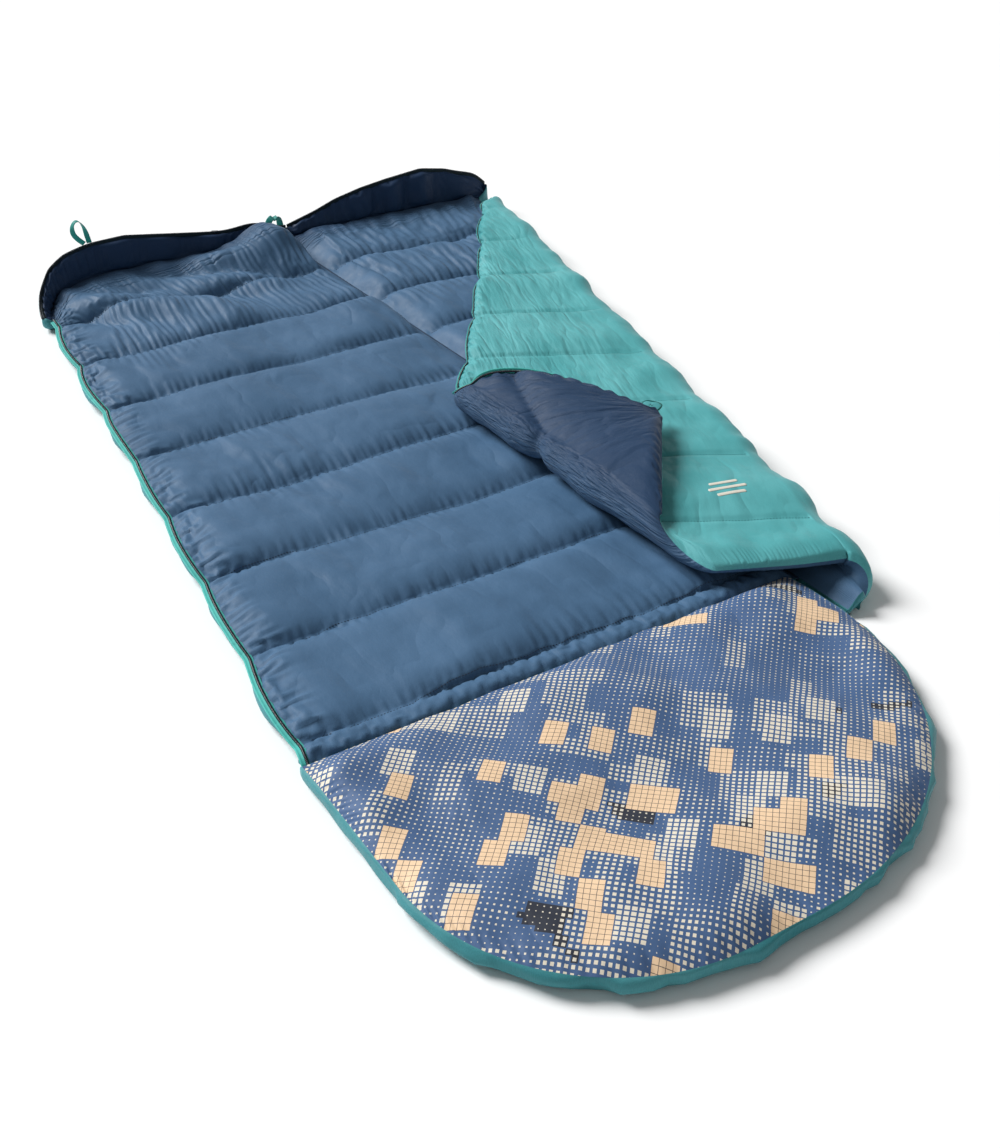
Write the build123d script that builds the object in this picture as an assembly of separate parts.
"""Hooded sleeping bag, unzipped and opened out for use as a quilt.

Frame: millimetres, +Z up, resting on z = 0.  +Y runs from the hood to the foot and +X from the
zip side to the sewn side seam.  The origin lies under the middle of the shoulder line, where the
printed hood lining starts.  The cover is sewn to the bottom layer along the side seam, lies open
beside it, is folded back over it along a slanting fold, and its free corner is folded open again.
"""
from build123d import *
import math
import os

os.makedirs("parts", exist_ok=True)

# ---- driving dimensions -----------------------------------------------------------------------
SEAM_X = 400.0  # side seam; the shoulder line is twice as wide
FOOT_Y = 1665.0  # foot edge of both layers
SHOULDER_Y = -6.0  # seam between the bottom layer and the hood
FOOT_ZIP_X = -178.0  # where the zip side would meet the foot edge
FOOT_CORNER_R = 170.0
HOOD_DEPTH = 530.0
HOOD_ZIP_R = 270.0
HOOD_SEAM_R = 430.0
HOOD_OUT = 18.0  # the hood is a little wider than the layer on the zip side
HOOD_IN = 22.0  # and a little narrower on the seam side

CLOTH = 1.2
LAYER = 34.0  # loft of one quilted layer
STACK = 40.0  # height from one folded layer to the next
CLEAR = 0.4  # between separate pieces
SEAM_GAP = 3.0  # between the two layers, taken up by the side seam's binding
FIRST_SEAM = 32.0
SEAM_PITCH = 206.0
STITCH = 1.0

FOLD_START = (SEAM_X + 31.0, -105.0)  # head end of the cover's fold
FOLD_END = (SEAM_X + 479.0, 1570.0)  # foot end of the cover's fold
CORNER_FOLD_X = SEAM_X - 136.0
HEAD_EDGE_Y = -107.0  # head edge of the cover, beside the hood
FLAP_HEAD_Y = -60.0  # where the folded part's head edge meets the fold
SIDE_ZIP_END = 1490.0

WALL = 20.0  # thickness of the padded wall at the foot
WALL_DROP = 10.0  # from the zip's top edge to the top of the wall
TAPE = 1.2
TAPE_UP = 13.0
COIL_W = 4.2
COIL_H = 2.7

LOOP_W = 12.0
LOOP_T = 1.6


# ---- helpers ----------------------------------------------------------------------------------
def polygon(points):
    return make_face(Polyline(*points, close=True))


def slab(face, low, high):
    return extrude(Plane.XY.offset(low) * face, amount=high - low)


def inset(face, distance):
    return offset(face, amount=-distance, kind=Kind.INTERSECTION)


def keep(node, *solids):
    """Writes one sub-part; several solids become one group."""
    flat = [piece for solid in solids for piece in solid.solids()]
    shape = flat[0] if len(flat) == 1 else Compound(children=flat)
    export_step(shape, f"parts/{node}.step")


def strip_between(start, end, direction, length=2600.0):
    """A strip of ground between two parallel lines through start and end."""
    dx, dy = direction
    far = [
        (point[0] + side * dx * length, point[1] + side * dy * length)
        for point, side in ((start, -1), (start, 1), (end, 1), (end, -1))
    ]
    return polygon(far)


def batts(face, lines, direction, low, high):
    """Wadding between stitched lines: one slab in each channel of the panel."""
    room = slab(inset(face, CLOTH + CLEAR), low, high)
    pieces = []
    for start, end in zip(lines, lines[1:]):
        dx, dy = end[0] - start[0], end[1] - start[1]
        length = math.hypot(dx, dy)
        step = (dx / length * STITCH * 2, dy / length * STITCH * 2)
        inner_start = (start[0] + step[0], start[1] + step[1])
        inner_end = (end[0] - step[0], end[1] - step[1])
        channel = slab(strip_between(inner_start, inner_end, direction), low, high)
        pieces += (room & channel).solids()
    return pieces


def threads(face, lines, direction, low):
    """Stitched lines across a panel, as thin raised strips."""
    room = slab(inset(face, 6), low, low + STITCH / 2)
    normal = (-direction[1] * STITCH / 2, direction[0] * STITCH / 2)
    pieces = []
    for x, y in lines:
        start = (x - normal[0], y - normal[1])
        end = (x + normal[0], y + normal[1])
        line = slab(strip_between(start, end, direction), low, low + STITCH / 2)
        pieces += (room & line).solids()
    return pieces


def quilt_panel(prefix, face, level, lining_up, lines, direction, suffix=""):
    """Outer shell with its side walls, wadding in channels, and the lining that closes it."""
    base = level * STACK
    inside = inset(face, CLOTH)
    lid = LAYER - CLOTH
    shell = slab(face, 0, lid - CLEAR) - slab(inside, CLOTH, LAYER)
    lining = slab(face, lid, LAYER)
    wadding = batts(face, lines, direction, CLOTH + CLEAR, lid - CLEAR)
    place = Pos(0, 0, base) if lining_up else Pos(0, 0, base + LAYER) * Rot(180, 0, 0)
    if not lining_up:
        # turned over about X, so the outline is mirrored first and comes back to its place
        flip = Plane.XZ
        shell = mirror(shell, about=flip)
        lining = mirror(lining, about=flip)
        wadding = [mirror(piece, about=flip) for piece in wadding]
    keep(f"{prefix}_outer_shell{suffix}", place * shell)
    keep(f"{prefix}_insulation{suffix}", *[place * piece for piece in wadding])
    keep(f"{prefix}_lining{suffix}", place * lining)


def band(face_out, low, high, distance_in, distance_out):
    """A wall that follows an outline, between two distances outside it."""
    outer = offset(face_out, amount=distance_out, kind=Kind.ARC)
    inner = offset(face_out, amount=distance_in, kind=Kind.ARC)
    return slab(outer, low, high) - slab(inner, low - 1, high + 1)


def under_profile(profile, low_shift, high_shift, floor=None):
    """Everything between two copies of a height profile along X, at the foot end."""
    top = [(x, z + high_shift) for x, z in profile]
    if floor is None:
        bottom = [(x, z + low_shift) for x, z in reversed(profile)]
    else:
        bottom = [(profile[-1][0], floor), (profile[0][0], floor)]
    face = Plane.XZ * polygon(top + bottom)
    return Pos(0, FOOT_Y + 200, 0) * extrude(face, amount=360)


# ---- outlines ---------------------------------------------------------------------------------
def bottom_outline():
    corners = [(-SEAM_X, SHOULDER_Y), (SEAM_X, SHOULDER_Y), (SEAM_X, FOOT_Y), (FOOT_ZIP_X, FOOT_Y)]
    face = polygon(corners)
    corner = face.vertices().sort_by(Axis.Y)[-2:].sort_by(Axis.X)[0]
    return fillet(corner, FOOT_CORNER_R)


def hood_outline():
    left, right = -SEAM_X - HOOD_OUT, SEAM_X - HOOD_IN
    top = SHOULDER_Y - CLEAR
    face = polygon([(left, top), (right, top), (right, -HOOD_DEPTH), (left, -HOOD_DEPTH)])
    low = face.vertices().sort_by(Axis.Y)[:2].sort_by(Axis.X)
    face = fillet(low[0], HOOD_ZIP_R)
    low = face.vertices().sort_by(Axis.Y)[:2].sort_by(Axis.X)
    return fillet(low[-1], HOOD_SEAM_R)


fold_dx, fold_dy = FOLD_END[0] - FOLD_START[0], FOLD_END[1] - FOLD_START[1]
fold_length = math.hypot(fold_dx, fold_dy)
along = (fold_dx / fold_length, fold_dy / fold_length)
across = (along[1], -along[0])  # away from the side seam, square to the fold


def on_fold(y, shift=0.0, side=0.0):
    """The point of the fold line at height y, moved along it and to one side."""
    t = (y - FOLD_START[1]) / along[1] + shift
    x = FOLD_START[0] + along[0] * t + across[0] * side
    return (x, FOLD_START[1] + along[1] * t + across[1] * side)


side_x = SEAM_X + SEAM_GAP
base_face = polygon(
    [
        (side_x, HEAD_EDGE_Y),
        on_fold(HEAD_EDGE_Y, side=-CLEAR),
        on_fold(FOOT_Y, side=-CLEAR),
        (side_x, FOOT_Y),
    ]
)
flap_zip_start = on_fold(FOLD_END[1], side=-CLEAR)
flap_zip_end = (CORNER_FOLD_X + CLEAR, 721.0)
flap_head_end = (CORNER_FOLD_X + CLEAR, 20.0)
flap_face = polygon([flap_zip_start, flap_zip_end, flap_head_end, on_fold(FLAP_HEAD_Y, side=-CLEAR)])
corner_tip = (SEAM_X + 50.0, 390.0)
corner_zip = [(CORNER_FOLD_X + CLEAR, 640.0), (SEAM_X - 75.0, 610.0), (SEAM_X, 490.0), corner_tip]
corner_face = polygon(corner_zip + [(CORNER_FOLD_X + CLEAR, 150.0)])
bottom_face = bottom_outline()
hood_face = hood_outline()

# ---- stitched lines ---------------------------------------------------------------------------
square = (1.0, 0.0)
fold_angle = math.atan2(along[1], along[0])
turned = (math.cos(2 * fold_angle), math.sin(2 * fold_angle))
ROLL_MID = LAYER / 2 + (STACK - LAYER) / 2
roll_length = math.pi * ROLL_MID
roll_shift = roll_length * along[0] / along[1]
seam_ys = [FIRST_SEAM + SEAM_PITCH * i for i in range(8)]
edge_ys = [-200.0] + seam_ys + [FOOT_Y + 200.0]
bottom_lines = [(0.0, y) for y in edge_ys]
flap_lines = [on_fold(y, shift=roll_shift) for y in [-420.0] + seam_ys + [FOOT_Y + 300.0]]
corner_turn = (math.cos(math.radians(60)), math.sin(math.radians(60)))
corner_lines = [(CORNER_FOLD_X, y) for y in (-300.0, 445.0, 1200.0)]

# ---- bottom layer and hood --------------------------------------------------------------------
quilt_panel("bottom", bottom_face, 0, True, bottom_lines, square)
keep("bottom_quilting", *threads(bottom_face, bottom_lines[1:-1], square, LAYER + CLEAR / 2))
quilt_panel("hood", hood_face, 0, True, [(0.0, -900.0), (0.0, 200.0)], square)

# ---- cover: open part, folded part and turned-back corner -------------------------------------
quilt_panel("cover", base_face, 0, True, bottom_lines, square)
keep("cover_quilting", *threads(base_face, bottom_lines[1:-1], square, LAYER + CLEAR / 2))
quilt_panel("flap", flap_face, 1, False, flap_lines, turned)
flap_top = STACK + LAYER + CLEAR / 2
keep("flap_quilting", *threads(flap_face, flap_lines[1:-1], turned, flap_top))
quilt_panel("corner", corner_face, 2, True, corner_lines, corner_turn)
corner_top = 2 * STACK + LAYER + CLEAR / 2
keep("corner_quilting", *threads(corner_face, corner_lines[1:-1], corner_turn, corner_top))


def fold_roll(prefix, start, direction, length, level, outside):
    """The half turn that the three layers of cloth take round a fold."""
    gap = (STACK - LAYER) / 2
    radii = [gap, gap + CLOTH, gap + LAYER - CLOTH, gap + LAYER]
    frame = Plane(
        origin=(start[0], start[1], level * STACK + LAYER + gap),
        x_dir=(outside[0], outside[1], 0),
        z_dir=(direction[0], direction[1], 0),
    )
    half = Rectangle(2 * LAYER, 4 * LAYER, align=(Align.MIN, Align.CENTER))
    rings = []
    for small, large, trim in zip(radii, radii[1:], (0, CLEAR, 0)):
        ring = (Circle(large - trim) - Circle(small + trim)) & half
        rings.append(extrude(frame * ring, amount=length))
    inner, middle, outer = rings
    names = ("lining", "insulation", "outer_shell")
    if prefix == "corner_fold":
        names = ("outer_shell", "insulation", "lining")
    for name, ring in zip(names, (inner, middle, outer)):
        keep(f"{prefix}_{name}", ring)


roll_start = on_fold(FLAP_HEAD_Y)
roll_run = math.dist(roll_start, FOLD_END)
fold_roll("cover_fold", roll_start, along, roll_run, 0, across)
fold_roll("corner_fold", (CORNER_FOLD_X, 90.0), (0, 1), 550.0, 1, (-1, 0))

# ---- side seam --------------------------------------------------------------------------------
binding = Box(SEAM_GAP - 2 * CLEAR, FOOT_Y - 10, 12, align=(Align.CENTER, Align.MIN, Align.MIN))
keep("side_seam_binding", Pos(SEAM_X + SEAM_GAP / 2, 5, 12) * binding)

# ---- padded wall at the foot ------------------------------------------------------------------
# Height of the zip's top edge along X; it dips at the side seam and is level near the zip side.
rail_low = (SEAM_X - 60.0, 55.0)
rail_high = (SEAM_X - 376.0, 104.0)
left_top = [(-215.0, 50.0), (-150.0, 86.0), (-70.0, 101.0), rail_high, rail_low, (SEAM_X, 55.0)]
right_top = [
    (side_x, 55.0),
    (475.0, 74.0),
    (527.0, 92.0),
    (593.0, 106.0),
    (660.0, 115.0),
    (755.0, 124.0),
    (824.0, 112.0),
    (894.0, 86.0),
    (945.0, 52.0),
]
wall_end_x = right_top[-1][0]
cover_edge = polygon(
    [(side_x, 1300), (wall_end_x, 1300), (wall_end_x, FOOT_Y), (side_x, FOOT_Y)]
)


def foot_wall(side, outline, profile, zone):
    """Outer shell, wadding, lining and zip along one layer's foot edge."""
    parts = {
        "outer_shell": (WALL - CLOTH, WALL, -WALL_DROP, 0.0),
        "insulation": (2 * CLEAR + CLOTH, WALL - CLOTH - CLEAR, -WALL_DROP - 2, CLEAR),
        "lining": (CLEAR, CLEAR + CLOTH, -WALL_DROP, LAYER + CLEAR),
    }
    for name, (near, far, top, floor) in parts.items():
        wall = band(outline, 0, 160, near, far) & under_profile(profile, 0, top, floor)
        keep(f"foot_wall_{side}_{name}", wall & zone)
    near = WALL + CLEAR
    tape = band(outline, 0, 160, near, near + TAPE)
    tape = tape & under_profile(profile, -WALL_DROP - TAPE_UP, -COIL_H - CLEAR / 2) & zone
    middle = near + TAPE / 2
    coil = band(outline, 0, 160, middle - COIL_W / 2, middle + COIL_W / 2)
    coil = coil & under_profile(profile, -COIL_H, 0) & zone
    keep(f"foot_zip_tape_{side}", tape)
    keep(f"foot_zip_coil_{side}", coil)


corner_side = Pos(0, FOOT_Y + 60, 60) * Box(2 * SEAM_X - 2 * CLEAR, 300, 200)
right_side = Pos(wall_end_x, FOOT_Y + 160, 60) * Box(2 * (wall_end_x - side_x), 320, 200)
foot_wall("bottom", bottom_face, left_top, corner_side)
foot_wall("cover", cover_edge, right_top, right_side)


# ---- side zip ---------------------------------------------------------------------------------
def straight_zip(start, end, height):
    """Flat zip tape with its coil along the outer edge, outside a straight edge of a layer."""
    dx, dy = end[0] - start[0], end[1] - start[1]
    length = math.hypot(dx, dy)
    place = Pos(start[0], start[1], height) * Rot(0, 0, math.degrees(math.atan2(dy, dx)))
    low = (Align.MIN, Align.MIN, Align.MIN)
    tape = place * Pos(0, CLEAR, 0) * Box(length, TAPE_UP, TAPE, align=low)
    lift = TAPE + CLEAR / 2
    coil = place * Pos(0, TAPE_UP - COIL_W, lift) * Box(length, COIL_W, COIL_H, align=low)
    return tape, coil


zip_slope = (FOOT_ZIP_X + SEAM_X) / (FOOT_Y - SHOULDER_Y)
side_zip_end = (-SEAM_X + zip_slope * SIDE_ZIP_END, SIDE_ZIP_END)
side_tape, side_coil = straight_zip((-SEAM_X, 0.0), side_zip_end, LAYER - 8)
keep("side_zip_tape", side_tape)
keep("side_zip_coil", side_coil)

flap_dx = flap_zip_end[0] - flap_zip_start[0]
flap_dy = flap_zip_end[1] - flap_zip_start[1]
flap_zip_length = math.hypot(flap_dx, flap_dy)
flap_unit = (flap_dx / flap_zip_length, flap_dy / flap_zip_length)
near_fold = (flap_zip_start[0] + flap_unit[0] * 90, flap_zip_start[1] + flap_unit[1] * 90)
near_corner = (flap_zip_end[0] - flap_unit[0] * 25, flap_zip_end[1] - flap_unit[1] * 25)
flap_tape, flap_coil = straight_zip(near_corner, near_fold, STACK + LAYER / 2)
keep("flap_zip_tape", flap_tape)
keep("flap_zip_coil", flap_coil)

corner_tapes, corner_coils = [], []
ZIP_SHORT = 46.0  # the zip ends this far before the corner, beside the hook tab
for start, end in zip(corner_zip, corner_zip[1:]):
    dx, dy = end[0] - start[0], end[1] - start[1]
    length = math.hypot(dx, dy)
    spare = ZIP_SHORT if end == corner_tip else 2.0
    first = (start[0] + dx / length * 8, start[1] + dy / length * 8)
    last = (end[0] - dx / length * spare, end[1] - dy / length * spare)
    tape, coil = straight_zip(first, last, 2 * STACK + LAYER / 2)
    corner_tapes.append(tape)
    corner_coils.append(coil)
keep("corner_zip_tape", *corner_tapes)
keep("corner_zip_coil", *corner_coils)

# ---- sliders and pull tabs on the foot zip ----------------------------------------------------
rail_y = FOOT_Y + WALL + CLEAR + TAPE / 2
rail_run = rail_low[0] - rail_high[0]
rail_rise = rail_high[1] - rail_low[1]
rail_angle = math.degrees(math.atan2(rail_rise, rail_run))
# local frame: x along the rail towards the zip side, z up, y towards the head
rail = Pos(rail_low[0], rail_y, rail_low[1]) * Rot(0, rail_angle, 0) * Rot(0, 0, 180)

SLIDER_L = 16.0
SLIDER_W = 9.4
SLOT_W = COIL_W + 0.8
PIN_R = 0.82
HOLE_R = 0.9
PIN_OUT = 7.4
PIN_DOWN = -4.0
LUG_L = 8.0


def slider_body():
    body = Pos(0, 0, -2.6) * Box(SLIDER_L, SLIDER_W, 8.0)
    body = fillet(body.edges().filter_by(Axis.Z), 2.0)
    slot = Pos(0, 0, -3.6) * Box(SLIDER_L + 2, SLOT_W, 8.0)
    lug = Pos(0, -PIN_OUT + 0.9, PIN_DOWN) * Box(LUG_L, 4.6, 4.4)
    hole = Pos(0, -PIN_OUT, PIN_DOWN) * Rot(0, 90, 0) * Cylinder(HOLE_R, LUG_L + 2)
    return body - slot + (lug - hole)


def pull_tab():
    pin = Pos(0, -PIN_OUT, PIN_DOWN) * Rot(0, 90, 0) * Cylinder(PIN_R, LUG_L + 5.0)
    arms = [Pos(s * (LUG_L / 2 + 1.5), -PIN_OUT, PIN_DOWN - 3.2) * Box(2.0, 1.6, 8.2) for s in (-1, 1)]
    plate = Pos(0, -PIN_OUT, PIN_DOWN - 19.5) * Box(LUG_L + 5.0, 1.6, 24.5)
    plate = fillet(plate.edges().filter_by(Axis.Y), 2.0)
    return pin + arms[0] + arms[1] + plate


slider_places = {"lower": 16.0, "upper": 110.0}
for name, distance in slider_places.items():
    place = rail * Pos(distance, 0, 0)
    keep(f"{name}_slider", place * slider_body())
    keep(f"{name}_pull_tab", place * pull_tab())
stop = Pos(0, 0, -4.8) * (Box(5.0, 8.0, 10.0) - Box(7.0, SLOT_W, 12.0))
stop = stop + Pos(0, 0, 1.0) * Box(5.0, 8.0, 1.6)
keep("zip_end_stop", Pos(rail_low[0] + 8, rail_y, rail_low[1]) * stop)


# ---- hang loops, hook tab and printed mark ----------------------------------------------------
def webbing_loop(width, height):
    """A loop of webbing standing on z = 0, open along its own y."""

    def outline(margin):
        half = width / 2 - margin
        middle = height - width / 2
        legs = Pos(0, (middle + margin) / 2) * Rectangle(2 * half, middle - margin)
        return legs + Pos(0, middle) * Circle(half)

    face = outline(0) - outline(LOOP_T)
    return Pos(0, LOOP_W / 2, 0) * extrude(Plane.XZ * face, amount=LOOP_W)


loop_y = FOOT_Y + WALL + 11.0  # outside the foot zip
keep("corner_hang_loop", Pos(-65, loop_y, 102) * webbing_loop(34, 50))
keep("seam_hang_loop", Pos(SEAM_X - 22, loop_y, 40) * webbing_loop(32, 38))

tab_edge = math.degrees(math.atan2(corner_tip[1] - corner_zip[2][1], corner_tip[0] - corner_zip[2][0]))
tab_place = Pos(corner_tip[0], corner_tip[1], 2 * STACK + LAYER / 2 - 0.9) * Rot(0, 0, tab_edge)
tab_face = Pos(-24, 14 + CLEAR) * RectangleRounded(34, 28, 9)
keep("hook_tab", tab_place * extrude(tab_face, amount=1.8))

mark_place = Pos(SEAM_X + 13.0, 175.0, STACK + LAYER + CLEAR) * Rot(0, 0, math.degrees(fold_angle) - 90)
mark = [Pos(0, 16 * i, 0) * Box(64 - 16 * abs(i), 7, 0.4) for i in (-1, 0, 1)]
keep("printed_mark", *[mark_place * bar for bar in mark])
print("rail slope", round(rail_angle, 3), "rail y", rail_y, "fold direction", along)
